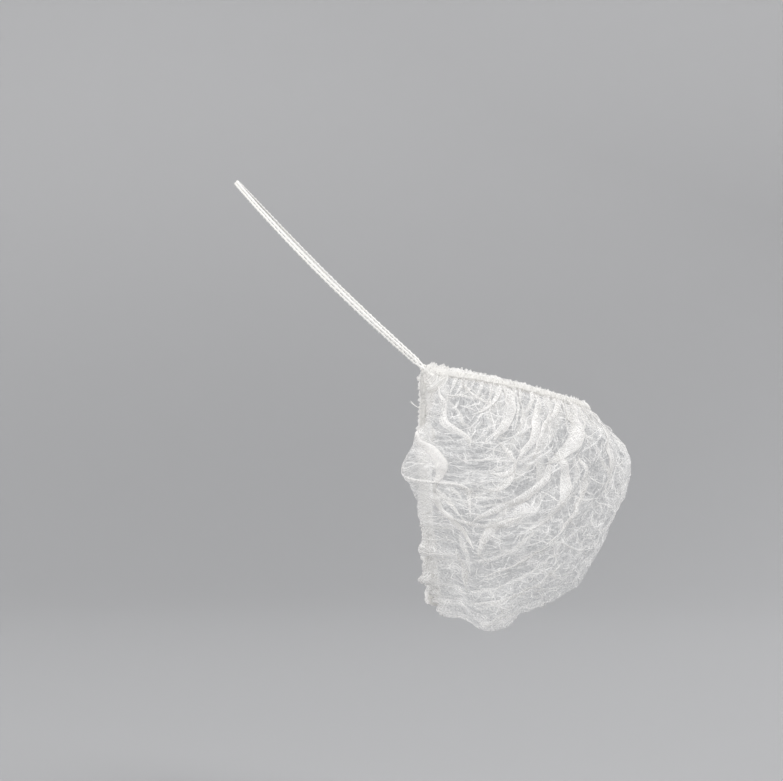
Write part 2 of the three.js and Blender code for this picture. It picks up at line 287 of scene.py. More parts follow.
def place_in_scene(name, data, location, forward):
    """Puts a camera or light in the scene, looking forward."""
    holder = bpy.data.objects.new(name, data)
    holder.location = location
    holder.rotation_mode = "QUATERNION"
    holder.rotation_quaternion = forward.to_track_quat("-Z", "Y")
    bpy.context.scene.collection.objects.link(holder)
    return holder


def make_camera():
    azimuth = math.radians(CAMERA_AZIMUTH)
    elevation = math.radians(CAMERA_ELEVATION)
    forward = Vector((
        -math.sin(azimuth) * math.cos(elevation),
        math.cos(azimuth) * math.cos(elevation),
        -math.sin(elevation),
    ))
    camera = bpy.data.cameras.new("camera")
    camera.sensor_width = SENSOR_WIDTH
    camera.lens = SENSOR_WIDTH * CAMERA_DISTANCE * PHOTO_PIXELS_PER_METRE / PHOTO_WIDTH_PIXELS
    location = CAMERA_TARGET - CAMERA_DISTANCE * forward
    bpy.context.scene.camera = place_in_scene("camera", camera, location, forward)


# Arithmetic on arrays of points

def unit(vectors):
    return vectors / np.maximum(np.linalg.norm(vectors, axis=-1, keepdims=True), 1e-9)


def smooth(share):
    limited = np.clip(share, 0, 1)
    return limited * limited * (3 - 2 * limited)


def hump(offset, width):
    share = np.clip(np.abs(offset / width), 0, 1)
    return 0.5 + 0.5 * np.cos(math.pi * share)


def signed_power(value, power):
    """The value's size to a power, with the value's sign."""
    return np.sign(value) * np.abs(value) ** power


def arc_lengths(points, axis=0):
    """Running length along a path, or along one axis of a grid of points."""
    steps = np.linalg.norm(np.diff(points, axis=axis), axis=-1)
    return np.insert(np.cumsum(steps, axis=axis), 0, 0, axis=axis)


def inside_cell(table, column, row, share_u, share_v):
    """Value inside a cell of a table, from its four corners. The table starts again at its
    end."""
    next_column = (column + 1) % table.shape[0]
    next_row = (row + 1) % table.shape[1]
    low = table[column, row] * (1 - share_u) + table[next_column, row] * share_u
    high = table[column, next_row] * (1 - share_u) + table[next_column, next_row] * share_u
    return low * (1 - share_v) + high * share_v


def noise(u, v, seed):
    """Smooth noise from -1 to 1 with one random value for each whole u and v."""
    size = 128
    table = np.random.default_rng(seed).uniform(-1, 1, (size, size))
    cell_u = np.floor(u).astype(int)
    cell_v = np.floor(v).astype(int)
    return inside_cell(table, cell_u % size, cell_v % size, smooth(u - cell_u), smooth(v - cell_v))


def bowls(u, v, seed):
    """Squared distance to the nearest of one jittered point a cell, so bowls that meet in
    straight sharp ridges, and how near each place is to such a ridge, from 0 to 1."""
    size = 64
    table = np.random.default_rng(seed).random((size, size, 3))
    cell_u = np.floor(u).astype(int)
    cell_v = np.floor(v).astype(int)
    nearest = np.full(np.shape(u), 9.0)
    second = np.full(np.shape(u), 9.0)
    for step_u in (-1, 0, 1):
        for step_v in (-1, 0, 1):
            at_u = cell_u + step_u
            at_v = cell_v + step_v
            jitter = table[at_u % size, at_v % size]
            distance = (at_u + jitter[..., 0] - u) ** 2 + (at_v + jitter[..., 1] - v) ** 2
            distance = distance + CRUMPLE_UNEVEN * jitter[..., 2]
            second = np.minimum(second, np.maximum(nearest, distance))
            nearest = np.minimum(nearest, distance)
    ridge = np.exp(-((second - nearest) / RIDGE_WIDTH) ** 2)
    return nearest, ridge


# The smooth bag

def swell_at(turn):
    """Smooth curve through the outline's rows, as the solid model draws it."""
    turns, swells = OUTLINE_ROWS.T
    last = len(turns) - 1
    index = np.clip(np.searchsorted(turns, turn, side="left") - 1, 0, last - 1)
    share = np.clip((turn - turns[index]) / (turns[index + 1] - turns[index]), 0, 1)
    before, start, end, after = [swells[np.clip(index + step, 0, last)] for step in (-1, 0, 1, 2)]
    lean_start = (end - before) / 2
    lean_end = (after - start) / 2
    cubic = (2 * start - 2 * end + lean_start + lean_end) * share ** 3
    square = (-3 * start + 3 * end - 2 * lean_start - lean_end) * share ** 2
    return np.maximum(cubic + square + lean_start * share + start, 0)


def outline_radius(turn):
    return TOP_RADIUS + (REAR_RADIUS - TOP_RADIUS) * turn + CHIN_SWELL * swell_at(turn)


def quarter_length(outline):
    return (math.pi / 2) * np.hypot(CORNER_HALF, outline) / math.sqrt(2)


FREE_LENGTH = float(quarter_length(outline_radius(np.array(0.5))))


def across_at_radius(radius):
    return 1 - radius / FREE_LENGTH


# Distances from a corner at which the net's cloth and the measured lengths end
NET_FROM_CORNER = 4.5
RAIL_FROM_CORNER = 2.5

# The same as places across. The pleats and creases stop short of the bunched corners.
NET_END = across_at_radius(NET_FROM_CORNER)
RAIL_END = across_at_radius(RAIL_FROM_CORNER)
CLOTH_END = across_at_radius(TACK_LENGTH + PIECE_GAP)


def net_point(across, turn):
    """Points of the smooth bag. across runs from -1 at the right corner to 1 at the left
    one, turn from 0 at the top hem to 1 at the rear hem."""
    across, turn = np.broadcast_arrays(np.asarray(across, float), np.asarray(turn, float))
    outline = outline_radius(turn)
    quarter = quarter_length(outline)
    from_corner = 1 - np.abs(across)
    spare = FREE_LENGTH / quarter
    share = spare * from_corner - (spare - 1) * from_corner ** CROWDING
    slope = quarter / outline
    swing = slope * share + (math.pi / 2 - slope) * share * share
    depth = np.sin(swing)
    width = np.cos(swing)
    angle = TOP_ANGLE + (REAR_ANGLE - TOP_ANGLE) * turn
    radius = outline * depth
    bow = 4 * depth * (1 - depth)
    rise = TOP_HEM_RISE * bow * (1 - turn) ** 2
    sag = REAR_HEM_SAG * bow * turn ** 2
    cheek = CHEEK_SWELL * np.sin(math.pi * turn) * 2 * depth * width
    side = np.where(across < 0, -1, 1)
    x = side * (CORNER_HALF * width + cheek)
    y = -(CORNER_REACH + radius * np.cos(angle) - sag)
    z = -(CORNER_DROP + radius * np.sin(angle)) + rise
    return np.stack([x, y, z], axis=-1)


def net_normal(across, turn):
    limit = 1 - FRAME_STEP
    left = net_point(np.minimum(across + FRAME_STEP, limit), turn)
    right = net_point(np.maximum(across - FRAME_STEP, -limit), turn)
    down = net_point(across, np.minimum(turn + FRAME_STEP, 1))
    up = net_point(across, np.maximum(turn - FRAME_STEP, 0))
    return unit(np.cross(down - up, left - right))


def measure_rails():
    """Lengths down the cloth from the top hem and along it from its middle, for each place
    across and each turn."""
    across = np.linspace(-RAIL_END, RAIL_END, RAIL_COLUMNS + 1)[:, None]
    turn = np.linspace(0, 1, RAIL_ROWS + 1)[None, :]
    points = net_point(across, turn)
    along = arc_lengths(points)
    return arc_lengths(points, axis=1), along - along[RAIL_COLUMNS // 2]


DOWN_RAILS, ALONG_RAILS = measure_rails()


def length_at(across, turn, rails=DOWN_RAILS):
    """Length down the cloth from the top hem, or along it from its middle."""
    u = np.clip((across + RAIL_END) / (2 * RAIL_END), 0, 1) * RAIL_COLUMNS
    v = np.clip(turn, 0, 1) * RAIL_ROWS
    column = np.minimum(u.astype(int), RAIL_COLUMNS - 1)
    row = np.minimum(v.astype(int), RAIL_ROWS - 1)
    return inside_cell(rails, column, row, u - column, v - row)


def whole_length(across):
    """Length down the cloth from hem to hem."""
    return length_at(across, np.ones_like(across))


def pattern_across(across, turn):
    """Place along the cloth for its crumple and fibres, little crowded by the gathers."""
    along = length_at(across, turn, ALONG_RAILS)
    return PATTERN_CROWDING * across * FREE_LENGTH + (1 - PATTERN_CROWDING) * along


def turns_at(across, lengths):
    """The turn at each length down the cloth, for each place across."""
    turns = np.linspace(0, 1, RAIL_ROWS + 1)
    rows = length_at(across[:, None], turns[None, :])
    return np.stack([np.interp(lengths[i], rows[i], turns) for i in range(len(across))])


def across_of_side_view(forward, below):
    """Place on the right side of the net of a point seen from the side."""
    turn = (np.arctan2(below, forward) - TOP_ANGLE) / (REAR_ANGLE - TOP_ANGLE)
    turn = np.clip(turn, 0.002, 0.998)
    outline = outline_radius(turn)
    quarter = quarter_length(outline)
    depth = np.clip(np.hypot(forward, below) / outline, 0, 0.995)
    swing = np.arcsin(depth)
    slope = quarter / outline
    bend = math.pi / 2 - slope
    share = (-slope + np.sqrt(slope ** 2 + 4 * bend * swing)) / (2 * bend)
    spare = FREE_LENGTH / quarter
    tries = np.linspace(0, 1, 400)
    shares = spare[:, None] * tries - (spare[:, None] - 1) * tries ** CROWDING
    from_corner = np.array([np.interp(share[i], shares[i], tries) for i in range(len(share))])
    return -(1 - from_corner), turn


# The crumpled bag

def slack_at(across, from_rear):
    """Length of cloth that the puffs and the roll take up between a place and the rest of
    the net, and the share of the largest puff there."""
    slack = np.zeros_like(from_rear)
    most = np.zeros_like(from_rear)
    for place, spread, back, _ in PUFF_ROWS:
        share = hump(across - place, spread)
        most = np.maximum(most, share)
        slack = slack + PUFF_SLACK * back * PUFF_BACK * share * smooth(1 - from_rear / PUFF_RUN)
    slack = slack + ROLL_SLACK * ROLL_BACK * (1 - most) * smooth(1 - from_rear / ROLL_RUN)
    return slack, most


def bent(place, u, v, rows):
    for reach, length, seed in rows:
        place = place + reach * noise(u / length, v / length, seed)
    return place


def crumple(u, v, from_hem):
    """Height of the crumple and how bunched the net is along its creases."""
    bent_u = bent(u, u, v, BENDS_ALONG)
    bent_v = bent(v, u, v, BENDS_DOWN)
    height = np.zeros_like(u)
    bunch = np.zeros_like(u)
    for index, (spacing, stretch, rise, gather) in enumerate(CRUMPLE_ROWS):
        bowl, ridge = bowls(bent_u / spacing, bent_v / (spacing * stretch), 21 + index)
        height = height + rise * (bowl - CRUMPLE_MIDDLE)
        uneven = smooth(0.5 + 0.9 * noise(u / (2 * spacing), v / (2 * spacing), 41 + index))
        bunch = bunch + gather * ridge * uneven
    return height * (0.35 + 0.65 * smooth(from_hem / 12)), bunch


def gathers(u, v, from_hem):
    """Height of the fine gathers that fan out of both hems."""
    lean = u + GATHER_BENDS * noise(u / 14, v / 11, 51)
    height = np.zeros_like(u)
    for spacing, length, rise, fade, seed in GATHER_ROWS:
        ridge = 0.4 - np.abs(noise(lean / spacing, v / length, seed))
        height = height + rise * ridge * np.exp(-from_hem / fade)
    return height


def long_folds(across, turn, from_hem):
    """Height of the long soft folds and of the ruffle that fades away from the hems."""
    height = np.zeros_like(turn)
    for place, drift, start, end, width, rise in FOLD_ROWS:
        entry = 1 if start == 0 else smooth((turn - start) / PLEAT_FADE)
        leave = 1 if end == 1 else smooth((end - turn) / PLEAT_FADE)
        ridge = hump((across - place - drift * turn) * FREE_LENGTH, width * PLEAT_WIDTH)
        height = height + rise * PLEAT_HEIGHT * entry * leave * ridge
    wave = np.cos(math.pi * RUFFLE_COUNT * (across + 1) + 1.4 * noise(across * 9, turn * 3, 61))
    return height + 0.7 * RUFFLE_HEIGHT * wave * np.exp(-from_hem / RUFFLE_FADE)


def bulged(point, normal, share, run, back, out, lean):
    """The points moved back and out where slack net hangs behind the rear hem. run is the
    share of the slack net's length from the hem."""
    hang = np.sin(math.pi * np.maximum(run - PUFF_DELAY, 0) / (1 - PUFF_DELAY))
    moved = point + (out * share * np.sin(math.pi * run ** lean))[..., None] * normal
    moved[..., 1] += back * share * hang * hang
    return moved


def folded_point(across, turn):
    """Points of the crumpled bag, its smooth normals and how bunched the net is there."""
    across, turn = np.broadcast_arrays(np.asarray(across, float), np.asarray(turn, float))
    normal = net_normal(across, turn)
    from_top = length_at(across, turn)
    from_rear = whole_length(across) - from_top
    from_hem = np.maximum(np.minimum(from_top, from_rear) - HEM_MARGIN, 0)
    from_corner = (1 - np.abs(across)) * FREE_LENGTH
    release = smooth(from_hem / RUFFLE_RISE)
    slack, most = slack_at(across, from_rear)
    u = across * FREE_LENGTH
    v = from_top + 0.5 * slack
    rumple, bunch = crumple(pattern_across(across, turn), v, from_hem)
    gathered = (1 - 0.75 * most) * (1 - 0.6 * smooth((turn - 0.3) / 0.4))
    folds = rumple + gathered * gathers(u, v, from_hem)
    height = release * (long_folds(across, turn, from_hem) - NET_SLACK_IN)
    height = height + (0.25 + 0.75 * release) * folds
    flat = smooth((from_corner - 4) / 12)
    point = net_point(across, turn) + (flat * height)[..., None] * normal
    run = np.clip((from_rear - HEM_MARGIN) / PUFF_RUN, 0, 1)
    for place, spread, back, out in PUFF_ROWS:
        share = hump(across - place, spread) * PUFF_PULL
        point = bulged(point, normal, share, run, back * PUFF_BACK, out * PUFF_OUT, PUFF_LEAN)
    uneven = 1 + 0.14 * noise(u / 9, 0.0, 62) + 0.24 * noise(u / 3.4, v / 30, 63)
    share = smooth((from_corner - TACK_LENGTH) / 24) * (1 - 0.8 * most) * uneven
    share = share * (0.55 + 0.45 * smooth(np.abs(across) / 0.3))
    run = np.clip((from_rear - HEM_MARGIN) / ROLL_RUN, 0, 1)
    point = bulged(point, normal, share, run, ROLL_BACK, ROLL_OUT, ROLL_LEAN)
    bunch = bunch + REAR_BUNCH * np.exp(-(from_rear / REAR_BUNCH_RUN) ** 2)
    bunch = bunch + TOP_BUNCH * np.exp(-from_top / TOP_BUNCH_RUN)
    return point, normal, bunch + CORNER_BUNCH * np.exp(-from_corner / CORNER_BUNCH_RUN)


# Meshes

class Parts:
    """Collects grids of points that become one mesh."""

    def __init__(self):
        self.points = []
        self.places = []
        self.bunches = []
        self.faces = []
        self.materials = []
        self.count = 0

    def add(self, points, places, bunch, material=0, closed=False):
        """Adds a grid of points. places are its two lengths on the cloth in millimetres."""
        rows, columns = points.shape[:2]
        index = np.arange(rows * columns).reshape(rows, columns) + self.count
        if closed:
            index = np.concatenate([index, index[:, :1]], axis=1)
        quads = np.stack([index[:-1, :-1], index[1:, :-1], index[1:, 1:], index[:-1, 1:]], axis=-1)
        self.faces.append(quads.reshape(-1, 4))
        self.materials.append(np.full(len(self.faces[-1]), material))
        self.points.append(points.reshape(-1, 3))
        level = np.zeros(points.shape[:2])
        self.places.append(np.stack(np.broadcast_arrays(*places, level), axis=-1).reshape(-1, 3))
        self.bunches.append(np.broadcast_to(bunch, points.shape[:2]).reshape(-1))
        self.count += rows * columns

    def mesh(self, name, materials):
        points = np.concatenate(self.points) * MM
        faces = np.concatenate(self.faces).astype(np.int32)
        mesh = bpy.data.meshes.new(name)
        mesh.vertices.add(len(points))
        mesh.vertices.foreach_set("co", points.astype(np.float32).ravel())
        mesh.loops.add(faces.size)
        mesh.loops.foreach_set("vertex_index", faces.ravel())
        mesh.polygons.add(len(faces))
        mesh.polygons.foreach_set("loop_start", np.arange(0, faces.size, 4, dtype=np.int32))
        mesh.polygons.foreach_set("material_index", np.concatenate(self.materials).astype(np.int32))
        mesh.update(calc_edges=True)
        mesh.validate()
        mesh.shade_smooth()
        places = np.concatenate(self.places).astype(np.float32)
        mesh.attributes.new("cloth", "FLOAT_VECTOR", "POINT").data.foreach_set("vector", places.ravel())
        bunches = np.clip(np.concatenate(self.bunches), 0, 1).astype(np.float32)
        mesh.attributes.new("bunch", "FLOAT", "POINT").data.foreach_set("value", bunches)
        for material in materials:
            mesh.materials.append(material)
        made = bpy.data.objects.new(name, mesh)
        bpy.context.scene.collection.objects.link(made)
        return made

    def piece(self, name, materials, node):
        """The mesh as a piece that stands for a node of the solid model."""
        made = self.mesh(name, materials)
        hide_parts(node)
        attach(made, "root")
        return made


def tube(path, radius, sides, up):
    """Rings of points round a path. up is a direction beside the path, one or one a point."""
    way = unit(np.gradient(path, axis=0))
    beside = unit(np.cross(way, np.broadcast_to(up, path.shape)))
    over = np.cross(beside, way)
    angle = np.arange(sides) / sides * TURN
    radius = np.broadcast_to(radius, len(path))[:, None, None]
    ring = np.cos(angle)[None, :, None] * beside[:, None] + np.sin(angle)[None, :, None] * over[:, None]
    return path[:, None] + radius * ring


def resample(path, spacing):
    """The path with evenly spaced points."""
    lengths = arc_lengths(path)
    count = max(int(lengths[-1] / spacing), 3)
    wanted = np.linspace(0, lengths[-1], count + 1)
    return np.stack([np.interp(wanted, lengths, path[:, axis]) for axis in range(path.shape[1])], axis=1)


def soften(path, rounds):
    """Rounds the corners of a path and keeps its ends."""
    for _ in range(rounds):
        middle = (path[:-2] + 2 * path[1:-1] + path[2:]) / 4
        path = np.concatenate([path[:1], middle, path[-1:]])
    return path


# The net and its pleats

def add_net(parts):
    across = np.linspace(-NET_END, NET_END, CLOTH_COLUMNS + 1)
    whole = whole_length(across)
    down = np.linspace(CLOTH_EDGE, 1 - CLOTH_EDGE, CLOTH_ROWS + 1)[None, :] * whole[:, None]
    turn = turns_at(across, down)
    across = np.broadcast_to(across[:, None], turn.shape)
    points, normal, bunch = folded_point(across, turn)
    true_normal = unit(np.cross(np.gradient(points, axis=1), np.gradient(points, axis=0)))
    facing = np.clip(np.abs(np.sum(true_normal * normal, axis=-1)), 0.5, 1)
    drawn = arc_lengths(points, axis=1)
    drawn = drawn * (DRAWN_SHARE * whole / drawn[:, -1])[:, None]
    parts.add(points, (pattern_across(across, turn), drawn), bunch + 0.22 * (1 / facing - 1))


def strip_points(path, way, out, scale, edge):
    """Places, points and normals of a strip beside a path on the flat cloth. out is how far
    each column stands from the path, and edge the share of the turn kept from the hems."""
    beside = np.stack([-way[:, 1], way[:, 0]], axis=1)
    place = path[:, None] + out[..., None] * beside[:, None]
    across = np.clip(place[..., 0] / FREE_LENGTH, -CLOTH_END, CLOTH_END)
    turn = np.clip(place[..., 1] / scale[:, None], edge, 1 - edge)
    point, normal, _ = folded_point(across, turn)
    return place, point, normal


def add_pleat(parts, across, turn, widths, thickness, offset, columns, cover=PLEAT_COVER):
    """One flattened pleat along a path on the cloth: the net runs out to a fold and back.
    widths are signed distances in millimetres from the root to the fold, and cover is how
    bunched the pleat is apart from its fold."""
    scale = whole_length(across)
    path = np.stack([across * FREE_LENGTH, turn * scale], axis=1)
    way = unit(np.stack([np.gradient(path[:, 0]), scale * np.gradient(turn)], axis=1))
    share = np.concatenate([np.linspace(0, 1, columns + 1), np.linspace(1, 0, columns + 1)[1:]])
    out = np.sin(share * math.pi / 2)
    reach = out[None, :] * widths[:, None]
    _, point, normal = strip_points(path, way, reach, scale, CLOTH_EDGE)
    size = np.minimum(1, np.abs(widths) / (np.abs(widths).max() + 1e-6))[:, None]
    low = 0.15 + 0.2 * np.sin(math.pi * out)
    high = low + thickness * np.sqrt(np.clip(1 - out ** 6, 0, 1)) * smooth(out * 3.5)
    order = np.arange(2 * columns + 1) - columns
    lift = np.where(order > 0, high, low)
    lift = np.where(order == 0, low + thickness / 2, lift)
    point = point + (lift[None, :] * (0.35 + 0.65 * size))[..., None] * normal
    along = arc_lengths(point[:, 0])[:, None]
    fold = np.exp(-((1 - out) / 0.16) ** 2)[None, :]
    places = (along + offset[0], arc_lengths(point, axis=1) + offset[1])
    parts.add(point, places, cover + 0.5 * fold)


def leaf(count, peak):
    """Widths of a pleat that tapers to both ends and is widest at the share peak."""
    share = np.linspace(0, 1, count)
    bent = share ** (math.log(0.5) / math.log(peak))
    return np.sin(math.pi * bent) ** 0.8


def add_side_pleats(parts, side, seed):
    """The large pleats of one side. The left side has the same ones a little changed."""
    random = np.random.default_rng(seed)
    for path, width, thickness in PLEAT_ROWS:
        points = np.array(path, float)
        if side > 0:
            points = points + random.uniform(-4, 4, 2) + random.uniform(-2, 2, points.shape)
            points = np.maximum(points, (3, 5))
            width = width * random.uniform(0.7, 1.1)
        points = soften(resample(points, PLEAT_SPACING), 3)
        across, turn = across_of_side_view(points[:, 0], points[:, 1])
        uneven = 1 + 0.3 * noise(np.arange(len(turn)) / 4, 0.5, int(random.integers(1, 900)))
        widths = width * leaf(len(turn), random.uniform(0.35, 0.6)) * uneven
        dense = width < 0
        turned = side if dense else random.choice([-1, 1])
        widths = turned * np.maximum(np.abs(widths), 0.25)
        columns = 5 if abs(width) > WIDE_PLEAT else 3
        offset = random.uniform(400, 900, 2)
        cover = DENSE_PLEAT_COVER if dense else PLEAT_COVER
        add_pleat(parts, -side * across, turn, widths, thickness, offset, columns, cover)


def add_hem_pleats(parts, hem, spacing, longest, seed):
    """Short gathers pressed flat where the net enters a hem, none of them in a puff."""
    random = np.random.default_rng(seed)
    span = 2 * CLOTH_END * FREE_LENGTH
    for index in range(int(span / spacing)):
        across = -CLOTH_END + (index + random.uniform(0.1, 0.9)) * spacing / FREE_LENGTH
        puffed = slack_at(across, 0.0)[1]
        if abs(across) > CLOTH_END - 0.01 or (hem == AT_REAR and puffed > 0.3):
            continue
        whole = whole_length(across)
        reach = min(random.uniform(8, longest), 0.4 * whole)
        count = max(int(reach / 1.6), 5)
        down = np.linspace(2.5, reach, count) / whole
        turn = down if hem == AT_TOP else 1 - down
        lean = random.uniform(-0.35, 0.35) * reach / FREE_LENGTH
        path = across + lean * np.linspace(0, 1, count) ** 1.5
        path = np.clip(path, -CLOTH_END, CLOTH_END)
        taper = (1 - np.linspace(0, 1, count)) ** 0.6
        widths = random.uniform(1, 3) * np.maximum(taper, 0.12) * random.choice([-1, 1])
        add_pleat(parts, path, turn, widths, random.uniform(0.5, 1), random.uniform(400, 900, 2), 2)


def add_crease(parts, path, width, height, bunch):
    """A sharp crease along a path on the flat cloth: a narrow strip folded along its middle."""
    scale = whole_length(path[:, 0] / FREE_LENGTH)
    way = unit(np.gradient(path, axis=0))
    thin = np.maximum(leaf(len(path), 0.5), 0.2)[:, None]
    out = np.array([[-1, 0, 1]]) * width / 2 * thin
    place, point, normal = strip_points(path, way, out, scale, CREASE_EDGE)
    rise = np.array([[0.08, 1, 0.08]]) * height * thin
    points = point + rise[..., None] * normal
    parts.add(points, (place[..., 0], place[..., 1]), np.array([[0.3, 1, 0.3]]) * bunch)


def add_creases(parts, count, seed):
    """Short sharp creases all over the net but where it rolls over the rear hem, most of
    them running from hem to hem."""
    random = np.random.default_rng(seed)
    limit = (CLOTH_END - 0.01) * FREE_LENGTH
    for _ in range(count):
        across = random.uniform(-CLOTH_END, CLOTH_END)
        down = random.uniform(0.06, 0.94) * whole_length(across)
        heading = math.pi / 2 + random.normal(0, 0.6)
        corners = [np.array([across * FREE_LENGTH, down])]
        for _ in range(int(random.integers(2, 6))):
            heading = heading + random.normal(0, 0.55)
            reach = random.uniform(2.5, 7)
            corners.append(corners[-1] + reach * np.array([math.cos(heading), math.sin(heading)]))
        path = soften(resample(np.array(corners), 1.1), 1)
        path[:, 0] = np.clip(path[:, 0], -limit, limit)
        scale = whole_length(path[:, 0] / FREE_LENGTH)
        inside = (path[:, 1] > 0.03 * scale) & (path[:, 1] < scale - PUFF_RUN)
        path = path if inside.all() else path[:np.argmin(inside)]
        if len(path) < 4:
            continue
        width = random.uniform(0.9, 1.6)
        height = random.uniform(0.3, 0.7)
        add_crease(parts, path, width, height, random.uniform(0.6, 1))


# Hems

def hem_frame(hem, spacing, start, end):
    """Points along a hem line with their directions into the net and out of the cloth."""
    across = np.linspace(start, end, 1200)
    lengths = arc_lengths(net_point(across, hem))
    along = np.linspace(0, lengths[-1], int(lengths[-1] / spacing) + 1)
    across = np.interp(along, lengths, across)
    edge = net_point(across, hem)
    down = HEM_MARGIN if hem == AT_TOP else whole_length(across) - HEM_MARGIN
    inner = turns_at(across, np.broadcast_to(down, across.shape)[:, None])[:, 0]
    inward = unit(net_point(across, inner) - edge)
    normal = net_normal(across, hem)
    lift = unit(np.cross(np.cross(inward, normal), inward))
    return {"along": along, "edge": edge, "inward": inward, "lift": lift}


def hem_index(hem, along):
    """Which of the hem's points lies at each length along it."""
    return np.clip(np.searchsorted(hem["along"], along), 0, len(hem["along"]) - 1)


def hem_centre(hem, at):
    return hem["edge"][at] + hem["inward"][at] * (HEM_WIDTH / 2)


def hem_ring(hem, at, angle, width, thickness):
    """Points round a hem's band at the given angles, 0 on the side of the net."""
    inward = signed_power(np.cos(angle), 0.8)
    lift = signed_power(np.sin(angle), 0.8)
    across = (inward * width / 2)[..., None] * hem["inward"][at]
    return hem_centre(hem, at) + across + (lift * thickness / 2)[..., None] * hem["lift"][at]


def add_band(parts, hem, seed):
    """The bunched cloth of a hem, ridged across its length."""
    along = hem["along"][:, None]
    angle = (np.arange(BAND_SIDES) / BAND_SIDES * TURN)[None, :]
    at = np.arange(len(along))[:, None]
    ridge = 1 - 2 * np.abs(noise((along + 0.5 * np.sin(angle)) / 1.1, angle / 2.2, seed))
    swell = noise(along / 5, angle / 4, seed + 1)
    thickness = HEM_THICKNESS * (0.72 + 0.3 * ridge + 0.2 * swell)
    width = HEM_WIDTH * (0.88 + 0.12 * ridge + 0.14 * swell)
    points = hem_ring(hem, at, angle, width, thickness)
    parts.add(points, (along, angle * 1.4), 0.8 + 0.25 * ridge, closed=True)


def add_frill(parts, hem, seed, tall):
    """The ruffled cut edge of the net that stands past the stitches."""
    along = hem["along"][:, None]
    out = np.linspace(-0.5, 1, 5)[None, :]
    height = 0.5 + 1.7 * np.abs(noise(along / 2.1, 0.0, seed))
    height = height + 1.1 * np.maximum(noise(along / 7, 1.0, seed + 1), 0)
    height = height * tall
    sway = np.sin(TURN * along / 2.9 + 2.5 * noise(along / 6, 0.0, seed + 2))
    sway = sway * (0.5 + 0.5 * noise(along / 4, 0.0, seed + 3))
    inward = -(height * out)[..., None] * hem["inward"][:, None]
    lift = (1.1 * sway * np.maximum(out, 0))[..., None] * hem["lift"][:, None]
    points = hem["edge"][:, None] + inward + lift
    parts.add(points, (along, 30 + out * height), 0.85 - 0.25 * out)


def add_overlock(parts, hem, seed, pitch, radius):
    """Two looping threads round the hem and the two needle threads on its faces."""
    total = hem["along"][-1]
    for phase, sense in ((0, 1), (0.5, -1)):
        along = np.linspace(0, total, int(total / pitch * 11))
        at = hem_index(hem, along)
        wander = 0.35 * noise(along / pitch / 2, phase, seed)
        angle = sense * TURN * (along / pitch + wander) + phase * math.pi
        slack = 1 + 0.14 * noise(along / 3, 2 + phase, seed + 5)
        path = hem_ring(hem, at, angle, (HEM_WIDTH + 0.5) * slack, HEM_THICKNESS * 1.02 * slack)
        add_thread(parts, tube(path, radius, THREAD_SIDES, unit(path - hem_centre(hem, at))), along)
    for side in (-1, 1):
        along = np.linspace(0, total, int(total / 0.5))
        at = hem_index(hem, along)
        stitch = 0.18 * np.cos(TURN * along / pitch)
        angle = side * 0.9 + 0.12 * noise(along / 3, 0.0, seed + side + 8)
        path = hem_ring(hem, at, angle, HEM_WIDTH + 0.3, HEM_THICKNESS + stitch)
        add_thread(parts, tube(path, radius * 1.1, THREAD_SIDES, hem["lift"][at]), along)


def add_thread(parts, rings, along):
    around = np.linspace(0, 1, rings.shape[1])
    parts.add(rings, (along[:, None], around[None, :]), 1, material=1, closed=True)


def add_loose_thread(parts, start, end, sag, seed, radius=0.2, strands=4):
    """A short frayed thread end: strands that part towards the tip."""
    random = np.random.default_rng(seed)
    share = np.linspace(0, 1, 16)[:, None]
    for _ in range(strands):
        fray = random.normal(0, 0.4, 3) * share ** 1.5
        line = start + np.subtract(end, start) * share + sag * np.sin(math.pi * share) + fray
        rings = tube(line, radius * (1 - 0.5 * share[:, 0]), THREAD_SIDES, (0.3, 0.2, 1))
        add_thread(parts, rings, arc_lengths(line))


def make_hem(name, node, turn, seed, materials):
    parts = Parts()
    end = across_at_radius(TACK_LENGTH - 2)
    hem = hem_frame(turn, BAND_SPACING, -end, end)
    add_band(parts, hem, seed)
    add_frill(parts, hem, seed + 10, 1)
    add_overlock(parts, hem, seed + 20, OVERLOCK_PITCH, OVERLOCK_RADIUS)
    if turn == AT_REAR:
        add_loose_thread(parts, *LOOSE_THREAD, seed + 30)
    return parts.piece(name, materials, node)


# Corners

def tack_section(angle):
    """Turn and share of the thickness at an angle round a corner's rounded section."""
    return 0.5 - 0.5 * signed_power(np.cos(angle), 0.7), signed_power(np.sin(angle), 0.6)


def add_wraps(parts, side):
    """Thread bound round the tip of a corner."""
    reach = TACK_THICKNESS / 2 * 0.86 + 0.12
    for wrap in range(WRAP_COUNT):
        at = TACK_TIP - 0.4 + WRAP_PITCH * wrap
        around = np.linspace(0, TURN * 1.02, 40)
        across = side * across_at_radius(at + 0.35 * np.sin(around + wrap * 1.7))
        turn, face = tack_section(around)
        surface = net_point(across, np.clip(0.5 + (turn - 0.5) * 1.08, 0, 1))
        path = surface + (reach * face)[:, None] * net_normal(across, turn)
        middle = net_point(side * across_at_radius(at), 0.5)
        add_thread(parts, tube(path, WRAP_RADIUS, 5, unit(path - middle + (0, 1e-3, 0))), around)


